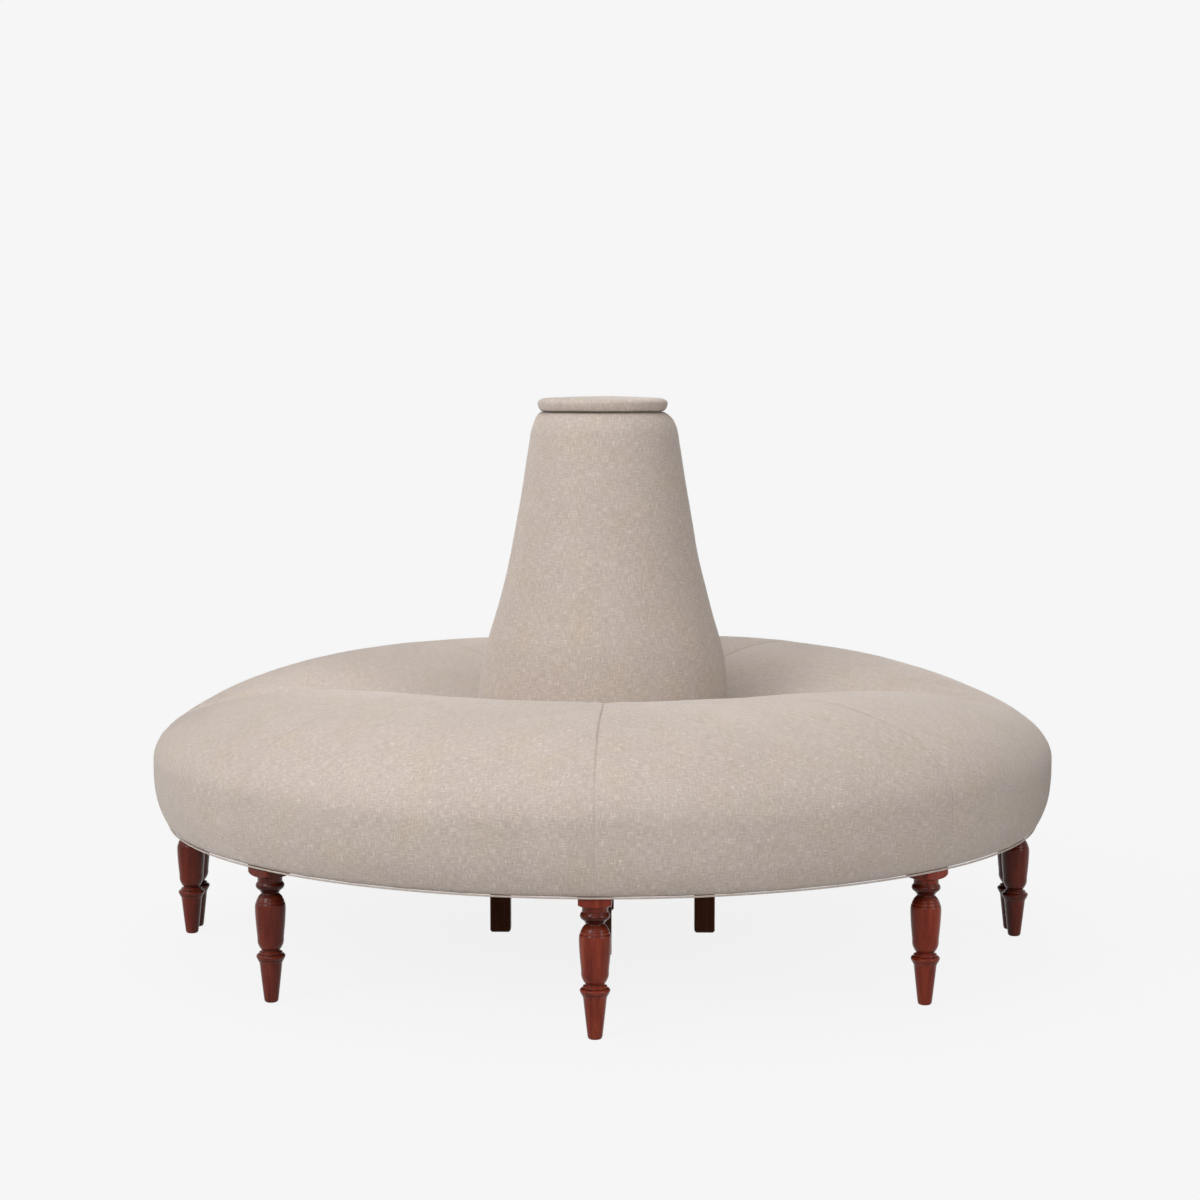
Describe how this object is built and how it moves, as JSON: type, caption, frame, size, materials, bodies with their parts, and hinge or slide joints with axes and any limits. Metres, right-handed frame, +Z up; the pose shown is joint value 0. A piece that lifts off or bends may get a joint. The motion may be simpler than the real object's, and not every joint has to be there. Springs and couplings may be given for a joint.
{
  "type": "round conversation sofa",
  "caption": "Round upholstered ring seat around a conical column back with a lift-off cap, on turned wooden legs.",
  "frame": {"origin": "on the floor under the centre of the ring seat", "axes": "+Z up, the middle leg of the front half at -Y, the joint between the halves along X"},
  "size_m": [1.5178, 1.5176, 0.9201],
  "materials": {
    "linen": "matte woven oatmeal linen",
    "mahogany": "glossy red mahogany varnish",
    "dark_wood": "dark stained, satin",
    "beech": "unfinished beech",
    "plywood": "unfinished plywood",
    "foam": "open-cell upholstery foam",
    "jute": "woven webbing",
    "black_cloth": "thin non-woven cloth",
    "steel": "zinc plated"
  },
  "bodies": {
    "sofa": {"front_left_end_leg": "mahogany", "front_left_leg": "mahogany", "front_middle_leg": "mahogany", "front_right_leg": "mahogany", "front_right_end_leg": "mahogany", "front_left_end_outer_rail": "beech", "front_left_outer_rail": "beech", "front_right_outer_rail": "beech", "front_right_end_outer_rail": "beech", "front_left_cross_rail": "beech", "front_middle_cross_rail": "beech", "front_right_cross_rail": "beech", "front_left_joint_rail": "beech", "front_right_joint_rail": "beech", "front_inner_rail": "beech", "front_webbing": "jute", "front_base_foam": "foam", "front_seat_pad": "linen", "front_hem_welt": "linen", "front_dust_cover": "black_cloth", "back_left_end_leg": "mahogany", "back_left_leg": "mahogany", "back_middle_leg": "mahogany", "back_right_leg": "mahogany", "back_right_end_leg": "mahogany", "back_left_end_outer_rail": "beech", "back_left_outer_rail": "beech", "back_right_outer_rail": "beech", "back_right_end_outer_rail": "beech", "back_left_cross_rail": "beech", "back_middle_cross_rail": "beech", "back_right_cross_rail": "beech", "back_left_joint_rail": "beech", "back_right_joint_rail": "beech", "back_inner_rail": "beech", "back_webbing": "jute", "back_base_foam": "foam", "back_seat_pad": "linen", "back_hem_welt": "linen", "back_dust_cover": "black_cloth", "column_base_board": "plywood", "column_front_leg": "dark_wood", "column_right_leg": "dark_wood", "column_back_leg": "dark_wood", "column_left_leg": "dark_wood", "column_rib_1": "plywood", "column_rib_2": "plywood", "column_rib_3": "plywood", "column_rib_4": "plywood", "column_rib_5": "plywood", "column_rib_6": "plywood", "column_top_ring": "plywood", "column_pad": "linen", "joint_bolt_left_inner": "steel", "joint_bolt_left_outer": "steel", "joint_bolt_right_inner": "steel", "joint_bolt_right_outer": "steel"},
    "cap": {"cap_board": "plywood", "cap_plug": "plywood", "cap_pad": "linen"}
  },
  "joints": [
    {"name": "cap_lift", "type": "slide", "parent": "sofa", "child": "cap", "axis": [0, 0, 1], "range_m": [0, 0.15]}
  ]
}
